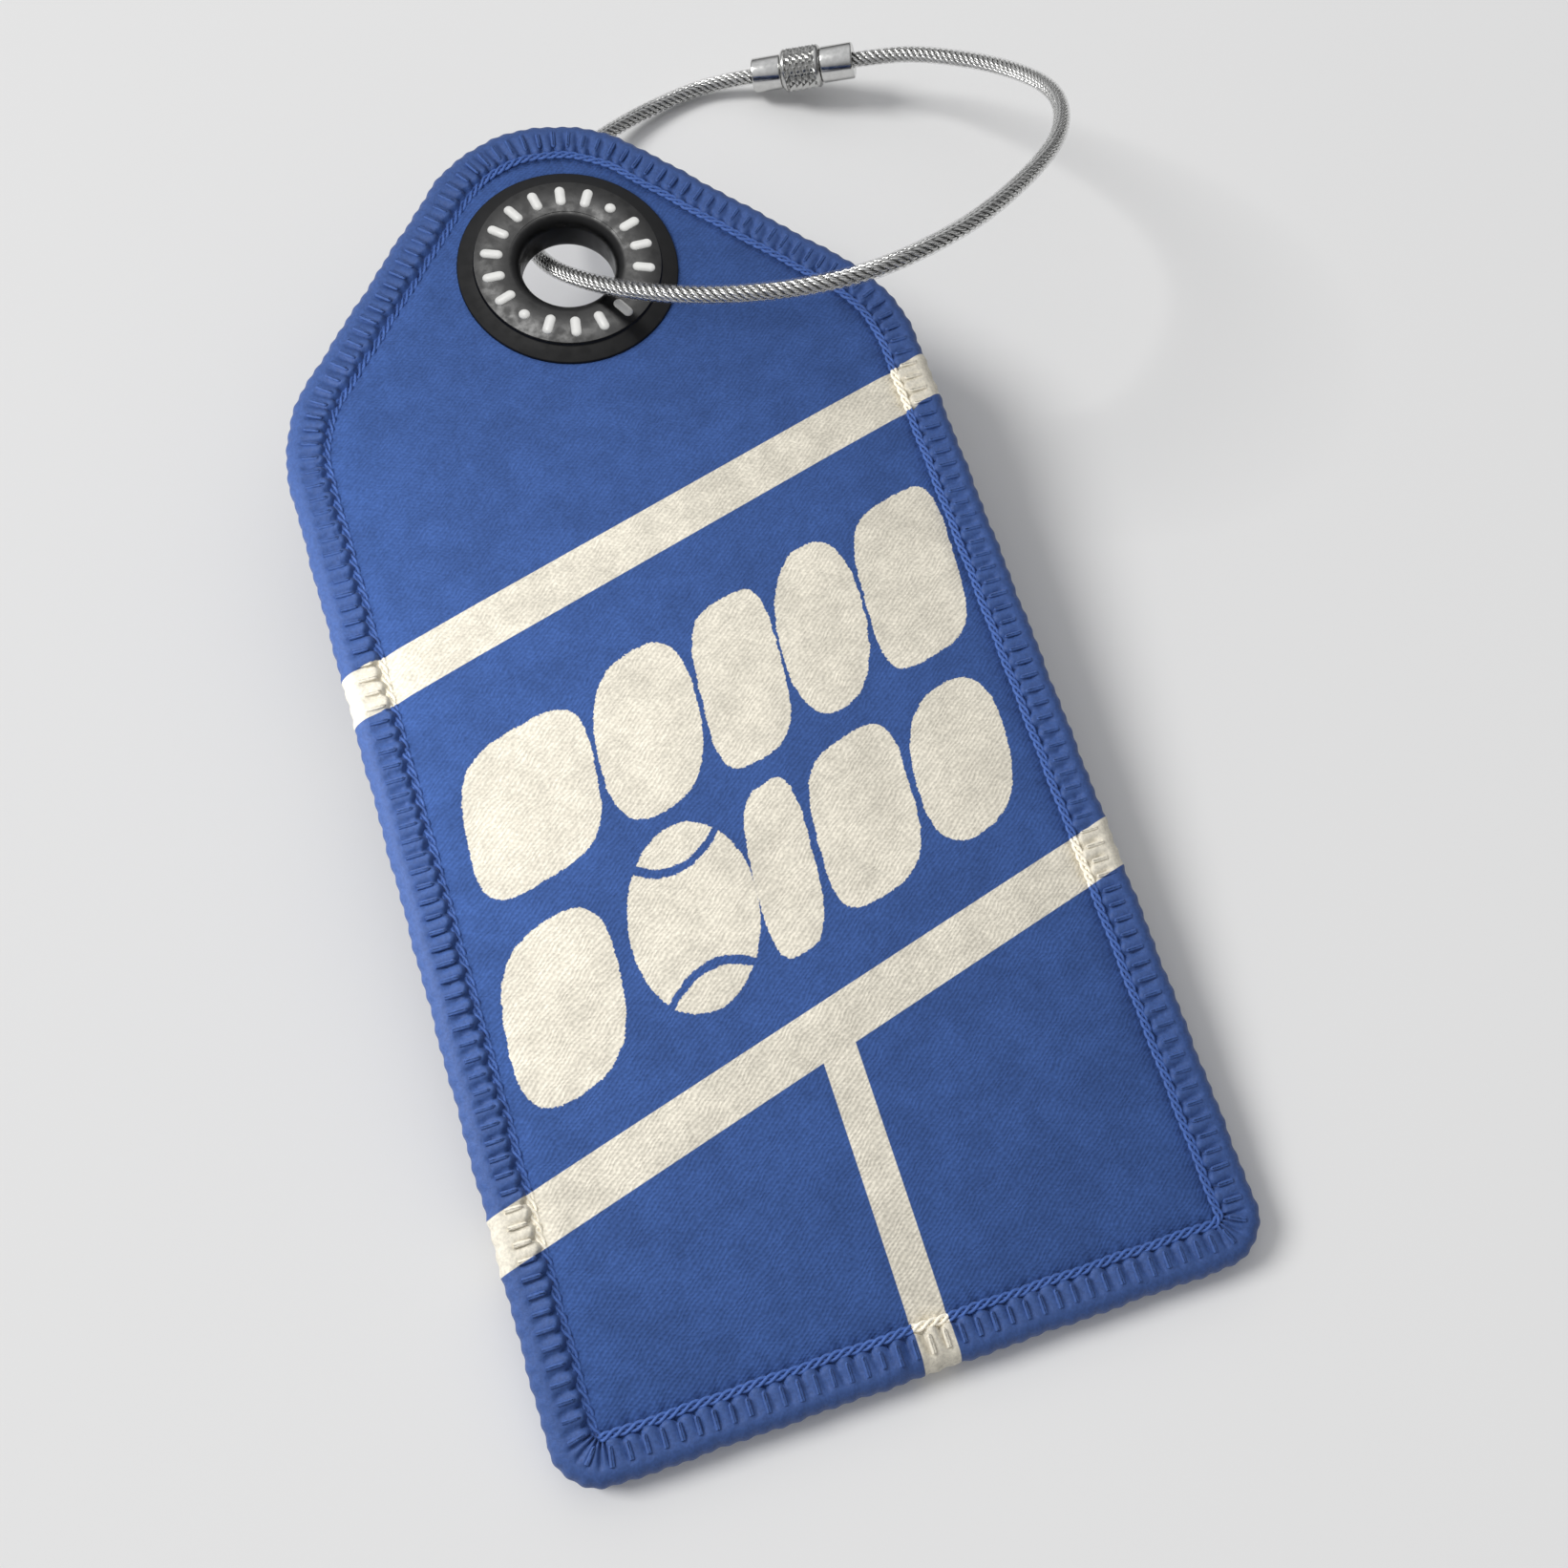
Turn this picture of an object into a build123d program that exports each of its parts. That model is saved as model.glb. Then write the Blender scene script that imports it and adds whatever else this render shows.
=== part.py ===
"""Luggage tag: a stiff fabric panel with an overlocked edge, a plastic eyelet and a screw-closed wire loop.

The tag lies on a table. Its top end is propped up by the steel loop that passes through the eyelet
and under the tip. +X runs across the tag, +Y from the bottom edge to the tip, +Z up. The origin is on the
table, below the middle of the tag. All sizes are in millimetres.
"""
from build123d import *
from math import cos, pi, radians, sin, tan
import os

# tag panel
tag_width = 70.0
tag_height = 140.0
tag_tilt = 7.0  # degrees, tip raised
shoulder_height = 109.7  # where the straight side would meet the slope
peak_height = 148.0  # where the two slopes would meet
tip_radius = 16.5
shoulder_radius = 18.0
foot_radius = 5.0
core_thickness = 1.8
cover_thickness = 0.5

# overlocked edge
edge_width = 4.2
edge_thickness = 4.0
edge_round = 1.6
panel_inset = 0.9  # thread between the panel's cut edge and the outside

# eyelet
eyelet_height = 121.0  # above the bottom edge
bore_radius = 5.15
barrel_radius = 6.9
flange_radius = 12.1
flange_edge = 0.35
front_rise = 1.2
dome_rise = 1.35
back_rise = 1.0
back_slope = 1.2  # width of the back ring's sloping outer edge
front_rim_round = 1.3
back_rim_round = 1.2
bezel_radius = 10.3
bezel_drop = 0.35  # depth of the step between the bezel and the dome
bezel_break = 0.1
snap_depth = 0.25
mark_count = 16
mark_radius = 8.3
mark_length = 2.3
mark_width = 0.85
mark_height = 0.2

# wire loop
rope_radius = 0.75
coating_radius = 1.0
bend_share = 0.45  # of the shorter run, taken by each arc
cable_in_clasp = 2.5
cable_run_out = 4.5  # straight stretch of the cable outside each end of the clasp

# screw clasp, measured from the outer end of the stud sleeve
clasp_centre = Vector(40.4, 85.7, 4.4)
clasp_direction = Vector(-0.911, 0.326, -0.267).normalized()
clasp_length = 13.2
sleeve_length = 4.2
sleeve_radius = 2.2
stud_length = 1.9
stud_radius = 1.5
thread_radius = 1.55
nut_start = 4.25
nut_length = 5.1
nut_radius = 2.6
nut_chamfer = 0.35
thread_end = 7.2
groove_start = 7.45
groove_end = 8.15
groove_radius = 2.15
spigot_radius = 1.9
spigot_bead = 2.05
bead_gap = 0.1  # between the bead's ends and the groove's ends
bead_slope = 0.15
running_gap = 0.05
collar_start = 9.4
collar_radius = 2.1
collar_bore = 1.65
collar_mouth = 1.25
collar_shoulder = 12.0
ferrule_start = 9.7
ferrule_end = 11.9
ferrule_radius = 1.5
small_chamfer = 0.2

# derived places
core_half = core_thickness / 2
panel_half = core_half + cover_thickness
edge_half = edge_thickness / 2
lean = radians(tag_tilt)
edge_lift = edge_round + (edge_half - edge_round) * cos(lean) - edge_round * sin(lean)
tag_normal = Vector(0, -sin(lean), cos(lean))
tag_plane = Plane(
    origin=(0, -tag_height / 2 * cos(lean), edge_lift),
    x_dir=(1, 0, 0),
    z_dir=tag_normal,
)
eyelet_centre = tag_plane.from_local_coords(Vector(0, eyelet_height, 0))
eyelet_plane = Plane(origin=eyelet_centre, x_dir=(1, 0, 0), z_dir=tag_normal)
eyelet_profile = Plane(
    origin=eyelet_centre,
    x_dir=(1, 0, 0),
    z_dir=Vector(1, 0, 0).cross(tag_normal),
)
eyelet_axis = Axis(eyelet_centre, tag_normal)
clasp_start = clasp_centre - clasp_direction * (clasp_length / 2)
clasp_plane = Plane(origin=clasp_start, z_dir=clasp_direction)
clasp_profile = Plane(
    origin=clasp_start,
    x_dir=clasp_plane.x_dir,
    z_dir=clasp_plane.x_dir.cross(clasp_direction),
)
clasp_axis = Axis(clasp_start, clasp_direction)

# The cable's route leaves the stud sleeve, rises over the front of the tag, goes down
# through the eyelet, under the tip, and along the table into the collar.
clasp_end = clasp_start + clasp_direction * clasp_length
cable_route = [
    clasp_start + clasp_direction * cable_in_clasp,
    clasp_start - clasp_direction * cable_run_out,
    Vector(54.5, 78.0, 10.0),
    Vector(60.0, 69.5, 14.5),
    Vector(61.5, 58.5, 20.5),
    Vector(57.0, 48.0, 25.0),
    Vector(48.5, 40.0, 28.0),
    Vector(38.0, 33.5, 30.0),
    Vector(25.0, 30.5, 30.0),
    Vector(12.0, 35.5, 26.0),
    Vector(2.5, 44.5, 20.5),
    Vector(-2.5, 56.0, 13.5),
    Vector(-1.0, 67.5, 8.0),
    Vector(5.5, 77.5, 4.5),
    Vector(14.0, 84.5, 2.0),
    Vector(23.5, 88.5, 1.1),
    clasp_end + clasp_direction * cable_run_out,
    clasp_end - clasp_direction * cable_in_clasp,
]


def outline(inset):
    """The tag's outline on the tag plane, drawn in by a distance."""
    with BuildSketch() as shape:
        with BuildLine():
            Polyline(
                (-tag_width / 2, 0),
                (tag_width / 2, 0),
                (tag_width / 2, shoulder_height),
                (0, peak_height),
                (-tag_width / 2, shoulder_height),
                close=True,
            )
        make_face()
        fillet(shape.vertices().group_by(Axis.Y)[0], foot_radius)
        fillet(shape.vertices().group_by(Axis.Y)[-1], tip_radius)
        fillet(shape.vertices().group_by(Axis.Y)[-2], shoulder_radius)
        if inset > 0:
            offset(amount=-inset)
    return shape.sketch


def save(piece, name):
    """Label a finished piece and write its STEP file."""
    piece.part.label = name
    export_step(piece.part, f"parts/{name}.step")


def panel_layer(bottom, top):
    """One flat layer of the tag panel, with the hole for the eyelet's barrel."""
    with BuildPart() as layer:
        with BuildSketch(tag_plane.offset(bottom)):
            add(outline(panel_inset))
        extrude(amount=top - bottom)
        with BuildSketch(eyelet_plane.offset(bottom)):
            Circle(barrel_radius)
        extrude(amount=top - bottom, mode=Mode.SUBTRACT)
    return layer


def route_radii(points):
    """One arc radius for each corner of a route, as large as its two runs allow."""
    radii = []
    for before, corner, after in zip(points, points[1:], points[2:]):
        first = corner - before
        second = after - corner
        half_turn = radians(first.get_angle(second)) / 2
        radii.append(bend_share * min(first.length, second.length) / tan(half_turn))
    return radii


def cable_tube(outer, inner):
    """A round tube, or a solid rod where inner is zero, along the whole cable route."""
    with BuildPart() as tube:
        with BuildLine() as path:
            FilletPolyline(*cable_route, radius=route_radii(cable_route))
        with BuildSketch(Plane(origin=path.line @ 0, z_dir=path.line % 0)):
            Circle(outer)
            if inner > 0:
                Circle(inner, mode=Mode.SUBTRACT)
        sweep(path=path.line)
    length = path.wire().length
    expected = pi * (outer**2 - inner**2) * length
    print(f"cable length {length:.1f}, volume {tube.part.volume:.1f}, expected {expected:.1f}")
    return tube


os.makedirs("parts", exist_ok=True)

# flat layers of the panel
core_board = panel_layer(-core_half, core_half)
save(core_board, "core_board")

front_cover = panel_layer(core_half, panel_half)
save(front_cover, "front_cover")

back_cover = panel_layer(-panel_half, -core_half)
save(back_cover, "back_cover")

# thread border, wrapped round the edges of all three layers
with BuildPart() as edge_stitching:
    with BuildSketch(tag_plane.offset(-edge_half)):
        add(outline(0))
    extrude(amount=edge_thickness)
    flats = edge_stitching.faces().filter_by(Plane(origin=(0, 0, 0), z_dir=tag_normal))
    fillet(flats.edges(), edge_round)
    with BuildSketch(tag_plane.offset(-edge_half)):
        add(outline(edge_width))
    extrude(amount=edge_thickness, mode=Mode.SUBTRACT)
    with BuildSketch(tag_plane.offset(-panel_half)):
        add(outline(panel_inset))
    extrude(amount=2 * panel_half, mode=Mode.SUBTRACT)
save(edge_stitching, "edge_stitching")

# eyelet: the front flange is one moulding with the barrel, and the back ring snaps onto it
front_top = panel_half + front_rise
back_bottom = -panel_half - back_rise
snap_middle = -panel_half - back_rise / 2
dome_start = bore_radius + front_rim_round
with BuildPart() as eyelet_front:
    with BuildSketch(eyelet_profile):
        with BuildLine():
            Polyline(
                (bore_radius, front_top - front_rim_round),
                (bore_radius, back_bottom + back_rim_round),
            )
            RadiusArc(
                (bore_radius, back_bottom + back_rim_round),
                (bore_radius + back_rim_round, back_bottom),
                -back_rim_round,
            )
            Polyline(
                (bore_radius + back_rim_round, back_bottom),
                (barrel_radius, back_bottom),
                (barrel_radius, snap_middle - snap_depth),
                (barrel_radius - snap_depth, snap_middle),
                (barrel_radius, snap_middle + snap_depth),
                (barrel_radius, panel_half),
                (flange_radius, panel_half),
                (flange_radius, panel_half + flange_edge),
                (bezel_radius, front_top - bezel_drop),
                (bezel_radius - bezel_break, front_top - bezel_break),
            )
            ThreePointArc(
                (bezel_radius - bezel_break, front_top - bezel_break),
                ((bezel_radius + dome_start) / 2, panel_half + dome_rise),
                (dome_start, front_top),
            )
            RadiusArc(
                (dome_start, front_top),
                (bore_radius, front_top - front_rim_round),
                -front_rim_round,
            )
        make_face()
    revolve(axis=eyelet_axis)
    # plain raised bars moulded round the flange
    bar_plane = eyelet_plane.offset(panel_half + front_rise / 2)
    bar_depth = dome_rise + mark_height - front_rise / 2
    with BuildSketch(bar_plane):
        with PolarLocations(mark_radius, mark_count):
            SlotOverall(mark_length, mark_width)
    extrude(amount=bar_depth)
save(eyelet_front, "eyelet_front")

with BuildPart() as eyelet_back:
    with BuildSketch(eyelet_profile):
        with BuildLine():
            Polyline(
                (barrel_radius, -panel_half),
                (barrel_radius, snap_middle + snap_depth),
                (barrel_radius - snap_depth, snap_middle),
                (barrel_radius, snap_middle - snap_depth),
                (barrel_radius, back_bottom),
                (flange_radius - back_slope, back_bottom),
                (flange_radius, -panel_half - flange_edge),
                (flange_radius, -panel_half),
                close=True,
            )
        make_face()
    revolve(axis=eyelet_axis)
save(eyelet_back, "eyelet_back")

# cable: steel rope in a clear coating
print("cable bend radii", [round(radius, 1) for radius in route_radii(cable_route)])
wire_rope = cable_tube(rope_radius, 0)
save(wire_rope, "wire_rope")

cable_coating = cable_tube(coating_radius, rope_radius)
save(cable_coating, "cable_coating")

# clasp half crimped on one end of the cable, with the threaded stud
with BuildPart() as stud_sleeve:
    with BuildSketch(clasp_profile):
        with BuildLine():
            Polyline(
                (coating_radius, 0),
                (sleeve_radius - small_chamfer, 0),
                (sleeve_radius, small_chamfer),
                (sleeve_radius, sleeve_length - small_chamfer),
                (sleeve_radius - small_chamfer, sleeve_length),
                (stud_radius, sleeve_length),
                (stud_radius, sleeve_length + stud_length - small_chamfer),
                (stud_radius - small_chamfer, sleeve_length + stud_length),
                (0, sleeve_length + stud_length),
                (0, cable_in_clasp),
                (coating_radius, cable_in_clasp),
                close=True,
            )
        make_face()
    revolve(axis=clasp_axis)
save(stud_sleeve, "stud_sleeve")

# crimped stop on the other end of the cable, inside the collar
with BuildPart() as stop_ferrule:
    with BuildSketch(clasp_profile):
        with BuildLine():
            Polyline(
                (0, ferrule_start),
                (ferrule_radius - small_chamfer, ferrule_start),
                (ferrule_radius, ferrule_start + small_chamfer),
                (ferrule_radius, ferrule_end),
                (coating_radius, ferrule_end),
                (coating_radius, clasp_length - cable_in_clasp),
                (0, clasp_length - cable_in_clasp),
                close=True,
            )
        make_face()
    revolve(axis=clasp_axis)
save(stop_ferrule, "stop_ferrule")

# collar that slides over the stop and carries the nut on its spigot
with BuildPart() as clasp_collar:
    with BuildSketch(clasp_profile):
        with BuildLine():
            Polyline(
                (collar_mouth, clasp_length),
                (collar_radius - small_chamfer, clasp_length),
                (collar_radius, clasp_length - small_chamfer),
                (collar_radius, collar_start),
                (spigot_radius, collar_start),
                (spigot_radius, groove_end - bead_gap),
                (spigot_bead, groove_end - bead_gap - bead_slope),
                (spigot_bead, groove_start + bead_gap + bead_slope),
                (spigot_radius, groove_start + bead_gap),
                (collar_bore, groove_start + bead_gap),
                (collar_bore, collar_shoulder),
                (collar_mouth, collar_shoulder),
                close=True,
            )
        make_face()
    revolve(axis=clasp_axis)
save(clasp_collar, "clasp_collar")

# knurled nut that turns on the collar's spigot and screws onto the stud
nut_end = nut_start + nut_length
with BuildPart() as clasp_nut:
    with BuildSketch(clasp_profile):
        with BuildLine():
            Polyline(
                (thread_radius, nut_start),
                (nut_radius - nut_chamfer, nut_start),
                (nut_radius, nut_start + nut_chamfer),
                (nut_radius, nut_end - nut_chamfer),
                (nut_radius - nut_chamfer, nut_end),
                (spigot_radius + running_gap, nut_end),
                (spigot_radius + running_gap, groove_end),
                (groove_radius, groove_end),
                (groove_radius, groove_start),
                (spigot_radius + running_gap, groove_start),
                (spigot_radius + running_gap, thread_end),
                (thread_radius, thread_end),
                close=True,
            )
        make_face()
    revolve(axis=clasp_axis)
save(clasp_nut, "clasp_nut")

print("eyelet centre", eyelet_centre, "normal", tag_normal)
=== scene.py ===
import bpy
import bmesh
import math
import numpy as np
from mathutils import Euler, Matrix, Vector
from mathutils.geometry import delaunay_2d_cdt


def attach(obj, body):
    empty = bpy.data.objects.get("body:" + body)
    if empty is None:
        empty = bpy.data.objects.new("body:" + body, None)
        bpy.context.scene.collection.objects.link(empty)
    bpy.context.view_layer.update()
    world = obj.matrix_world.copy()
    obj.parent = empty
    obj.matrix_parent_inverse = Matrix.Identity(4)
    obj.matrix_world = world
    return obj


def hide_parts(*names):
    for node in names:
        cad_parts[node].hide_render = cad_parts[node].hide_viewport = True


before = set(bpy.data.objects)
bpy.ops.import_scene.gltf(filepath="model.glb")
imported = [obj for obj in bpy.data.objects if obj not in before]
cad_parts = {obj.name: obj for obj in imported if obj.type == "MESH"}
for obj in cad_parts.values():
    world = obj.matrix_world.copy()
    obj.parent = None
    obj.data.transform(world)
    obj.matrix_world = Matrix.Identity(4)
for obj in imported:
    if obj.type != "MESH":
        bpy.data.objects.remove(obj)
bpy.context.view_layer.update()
print("frame loaded:", len(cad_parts), "nodes")

mm = 0.001

# sizes in millimetres on the tag's tilted plane: x across, y up from the bottom edge, z out of the front
tag = {
    "width": 70.0, "height": 140.0, "tilt": 7.0, "shoulder": 109.7, "peak": 148.0,
    "tipRadius": 16.5, "shoulderRadius": 18.0, "footRadius": 5.0, "clothTop": 1.4,
    "borderWidth": 4.2, "borderHalf": 2.0, "borderRound": 1.6, "eyeletHeight": 121.0, "barrelRadius": 6.9,
}
lean = math.radians(tag["tilt"])
tagOrigin = Vector((0, -tag["height"] / 2 * math.cos(lean),
                    tag["borderRound"] + (tag["borderHalf"] - tag["borderRound"]) * math.cos(lean)
                    - tag["borderRound"] * math.sin(lean))) * mm
tagUp = Vector((0, math.cos(lean), math.sin(lean)))
tagOut = Vector((0, -math.sin(lean), math.cos(lean)))


def toFrame(points):
    # tag millimetres to the frame's metres
    p = np.asarray(points, float).reshape(-1, 3) * mm
    out = np.outer(p[:, 0], (1, 0, 0)) + np.outer(p[:, 1], tagUp) + np.outer(p[:, 2], tagOut)
    return out + np.array(tagOrigin)


def linked(name, data):
    # a new object in the scene
    obj = bpy.data.objects.new(name, data)
    bpy.context.scene.collection.objects.link(obj)
    return obj


def meshPiece(name, points, faces, smoothAngle=40):
    # outward faces, then smooth shading with creases kept
    mesh = bpy.data.meshes.new(name)
    mesh.from_pydata([tuple(p) for p in points], [], faces)
    mesh.validate()
    shell = bmesh.new()
    shell.from_mesh(mesh)
    bmesh.ops.recalc_face_normals(shell, faces=shell.faces)
    shell.to_mesh(mesh)
    shell.free()
    mesh.shade_smooth()
    mesh.set_sharp_from_angle(angle=math.radians(smoothAngle))
    return linked(name, mesh)


def plainMesh(obj, name):
    # the evaluated shape as a new object with a plain mesh
    graph = bpy.context.evaluated_depsgraph_get()
    mesh = bpy.data.meshes.new_from_object(obj.evaluated_get(graph), depsgraph=graph)
    mesh.name = name
    bpy.data.objects.remove(obj)
    return linked(name, mesh)


def paint(obj, material):
    obj.data.materials.clear()
    obj.data.materials.append(material)


def fill(tree, node, inputs):
    # sockets are linked, plain values are set
    for key, value in inputs.items():
        if isinstance(value, bpy.types.NodeSocket):
            tree.links.new(value, node.inputs[key])
        else:
            node.inputs[key].default_value = value


def addNode(tree, kind, inputs=None, **settings):
    node = tree.nodes.new(kind)
    for key, value in settings.items():
        setattr(node, key, value)
    fill(tree, node, inputs or {})
    return node


def geo(tree, kind, inputs=None, **settings):
    return addNode(tree, "GeometryNode" + kind, inputs, **settings).outputs[0]


def calc(tree, operation, *values):
    return addNode(tree, "ShaderNodeMath", dict(enumerate(values)), operation=operation).outputs[0]


def plus(tree, a, b):
    return calc(tree, "ADD", a, b)


def minus(tree, a, b):
    return calc(tree, "SUBTRACT", a, b)


def times(tree, a, b):
    return calc(tree, "MULTIPLY", a, b)


def over(tree, a, b):
    return calc(tree, "DIVIDE", a, b)


def apart(tree, a, b):
    # the distance between two numbers
    return calc(tree, "ABSOLUTE", minus(tree, a, b))


def hypot(tree, a, b):
    return calc(tree, "SQRT", plus(tree, times(tree, a, a), times(tree, b, b)))


def vectorOf(tree, x=0.0, y=0.0, z=0.0):
    return addNode(tree, "ShaderNodeCombineXYZ", {0: x, 1: y, 2: z}).outputs[0]


def vectorCalc(tree, operation, *values):
    node = addNode(tree, "ShaderNodeVectorMath", operation=operation)
    keys = (0, "Scale") if operation == "SCALE" else range(len(values))
    fill(tree, node, dict(zip(keys, values)))
    return node.outputs["Value"] if operation in ("DOT_PRODUCT", "LENGTH") else node.outputs[0]


def ramp(tree, value, low, high, outLow=0.0, outHigh=1.0):
    ends = {"Value": value, "From Min": low, "From Max": high, "To Min": outLow, "To Max": outHigh}
    return addNode(tree, "ShaderNodeMapRange", ends, interpolation_type="SMOOTHSTEP").outputs[0]


def noise(tree, place, scale, detail, roughness=0.5):
    inputs = {"Vector": place, "Scale": scale, "Detail": detail, "Roughness": roughness}
    return addNode(tree, "ShaderNodeTexNoise", inputs).outputs


def objectPlace(tree):
    return addNode(tree, "ShaderNodeTexCoord").outputs["Object"]


def mixColor(tree, factor, a, b, blend="MIX"):
    node = addNode(tree, "ShaderNodeMix", data_type="RGBA", blend_type=blend)
    fill(tree, node, {0: factor, 6: a, 7: b})
    return node.outputs[2]


def toned(tree, color, tone):
    return mixColor(tree, 1.0, color, vectorOf(tree, tone, tone, tone), "MULTIPLY")


def newTree(name, kind, inputs, result):
    # a tree with named inputs, each given as label: kind of socket, and one output
    tree = bpy.data.node_groups.new(name, kind)
    for label, socketKind in inputs.items():
        tree.interface.new_socket(label, in_out="INPUT", socket_type="NodeSocket" + socketKind)
    tree.interface.new_socket(result[0], in_out="OUTPUT", socket_type="NodeSocket" + result[1])
    start = tree.nodes.new("NodeGroupInput")
    end = tree.nodes.new("NodeGroupOutput")
    return tree, start.outputs, end.inputs[0]


def geometryTree(name, spec):
    # a Geometry Nodes tree with a named input for each value in the dictionary
    kinds = {int: "Int", float: "Float", Vector: "Vector", bpy.types.Material: "Material"}
    inputs = {"Geometry": "Geometry", **{label: kinds[type(value)] for label, value in spec.items()}}
    return newTree(name, "GeometryNodeTree", inputs, ("Geometry", "Geometry"))


def finishTree(tree, geometry, inputs, end, smooth=True):
    made = geo(tree, "RealizeInstances", {"Geometry": geometry})
    if smooth:
        made = geo(tree, "SetShadeSmooth", {"Geometry": made})
    tree.links.new(geo(tree, "SetMaterial", {"Geometry": made, "Material": inputs["Finish"]}), end)
    return tree


def evenCurve(tree, inputs, mode, value):
    # the object's chain of edges as a curve with even steps
    line = geo(tree, "MeshToCurve", {"Mesh": inputs["Geometry"]})
    return geo(tree, "ResampleCurve", {"Curve": line, mode: value}, mode=mode.upper())


def tubeAlong(tree, curve, radius, sides, caps=True):
    ring = geo(tree, "CurvePrimitiveCircle", {"Resolution": sides, "Radius": radius})
    return geo(tree, "CurveToMesh", {"Curve": curve, "Profile Curve": ring, "Fill Caps": caps})


def turnTo(tree, vector, axis, pivot="AUTO", rotation=(0, 0, 0)):
    return addNode(tree, "FunctionNodeAlignRotationToVector", {"Rotation": rotation, "Vector": vector},
                   axis=axis, pivot_axis=pivot).outputs[0]


def grow(obj, name, makeTree, spec):
    # puts a tree on the object with its inputs set, and returns the plain result
    modifier = obj.modifiers.new("grow", "NODES")
    modifier.node_group = makeTree(spec)
    for item in modifier.node_group.interface.items_tree:
        if item.in_out == "INPUT" and item.name in spec:
            modifier[item.identifier] = spec[item.name]
    return plainMesh(obj, name)


def lineObject(name, points, closed=False):
    # a chain of edges for a tree to follow
    mesh = bpy.data.meshes.new(name)
    count = len(points)
    edges = [(i, i + 1) for i in range(count - 1)] + ([(count - 1, 0)] if closed else [])
    mesh.from_pydata([tuple(p) for p in points], edges, [])
    return linked(name, mesh)


cameraSpec = {"place": (-0.02619, -0.07656, 0.16466), "lens": 38.785, "sensor": 36.0, "near": 0.01, "far": 20,
              "right": (0.94619, -0.31896, 0.05460), "up": (0.26927, 0.86963, 0.41381)}


def makeCamera():
    data = bpy.data.cameras.new("camera")
    data.lens, data.sensor_width = cameraSpec["lens"], cameraSpec["sensor"]
    data.clip_start, data.clip_end = cameraSpec["near"], cameraSpec["far"]
    right = Vector(cameraSpec["right"]).normalized()
    back = right.cross(Vector(cameraSpec["up"]).normalized()).normalized()
    turn = Matrix((right, back.cross(right), back)).transposed()
    camera = linked("camera", data)
    camera.matrix_world = Matrix.Translation(cameraSpec["place"]) @ turn.to_4x4()
    bpy.context.scene.camera = camera


makeCamera()
print("camera placed")

clasp = {"centre": Vector((40.4, 85.7, 4.4)) * mm, "along": Vector((-0.911, 0.326, -0.267)).normalized(),
         "length": 13.2 * mm, "inside": 2.5 * mm, "runOut": 4.5 * mm}
claspStart = clasp["centre"] - clasp["along"] * clasp["length"] / 2
claspEnd = clasp["centre"] + clasp["along"] * clasp["length"] / 2
cable = {"diameter": 2.0 * mm, "length": 0.188}
# out of the clasp, over the tag's right shoulder, down through the eyelet and back below the tip
cablePath = [
    (0.0545, 0.0780, 0.0100), (0.0600, 0.0695, 0.0145), (0.0615, 0.0585, 0.0205), (0.0570, 0.0480, 0.0250),
    (0.0485, 0.0400, 0.0280), (0.0380, 0.0335, 0.0300), (0.0250, 0.0305, 0.0300), (0.0120, 0.0355, 0.0260),
    (0.0025, 0.0445, 0.0205), (-0.0025, 0.0560, 0.0135), (-0.0010, 0.0675, 0.0080), (0.0055, 0.0775, 0.0045),
    (0.0140, 0.0845, 0.0020), (0.0235, 0.0885, 0.0011),
]
cableRoute = [claspStart + clasp["along"] * clasp["inside"], claspStart - clasp["along"] * clasp["runOut"],
              *(Vector(p) for p in cablePath),
              claspEnd + clasp["along"] * clasp["runOut"], claspEnd - clasp["along"] * clasp["inside"]]


def cableLine():
    # the loop's smooth centre line, as points along one NURBS spline
    curve = bpy.data.curves.new("cableLine", "CURVE")
    curve.dimensions = "3D"
    spline = curve.splines.new("NURBS")
    spline.points.add(len(cableRoute) - 1)
    for point, place in zip(spline.points, cableRoute):
        point.co = (*place, 1)
    spline.order_u = 3
    spline.use_endpoint_u = True
    spline.resolution_u = 24
    line = plainMesh(linked("cableLine", curve), "cableLine")
    points = [v.co.copy() for v in line.data.vertices]
    bpy.data.objects.remove(line)
    return points


cablePoints = cableLine()

inks = {"blue": (0.043, 0.097, 0.295, 1), "cream": (0.75, 0.705, 0.600, 1)}
stripes = {"upperMid": 88.0, "upperSlope": 0.2907, "lowerMid": 32.6, "lowerSlope": 0.2807,
           "half": 2.6, "lineMid": 1.0, "lineHalf": 1.8, "soft": 0.05}
# rounded pebbles in two rows, which climb to the right and lean about a middle height
rows = {"slope": 0.287, "lean": 0.075, "middle": 59.0}
pebbleLabels = ("Middle X", "Middle Y", "Half width", "Half height", "Squareness")
pebbles = [
    (-20.6, 68.6, 6.9, 7.8, 3.4), (-7.7, 68.9, 5.5, 8.4, 2.6), (2.8, 68.6, 4.5, 8.7, 3.6),
    (12.4, 68.9, 4.8, 9.0, 2.3), (23.0, 68.7, 5.4, 9.0, 3.8),
    (-21.6, 48.9, 5.9, 8.3, 2.8), (2.3, 48.9, 3.2, 8.6, 3.2), (11.6, 49.0, 5.3, 8.2, 3.4),
    (22.9, 48.6, 5.3, 7.9, 2.5),
]
ball = {"x": -8.4, "y": 47.1, "halfWidth": 6.5, "halfHeight": 9.6, "turn": 14.0,
        "seamAcross": 0.54, "seamUp": 1.66, "seamRadius": 1.20, "seamHalf": 0.042, "seamFade": 0.056}
# how far the weave shifts the ink's edge, in broad waves and in fine ones
inkEdge = {"broad": 0.45, "broadScale": 0.7, "fine": 0.34, "fineScale": 4.5,
           "inside": 0.994, "outside": 1.006}


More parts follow.
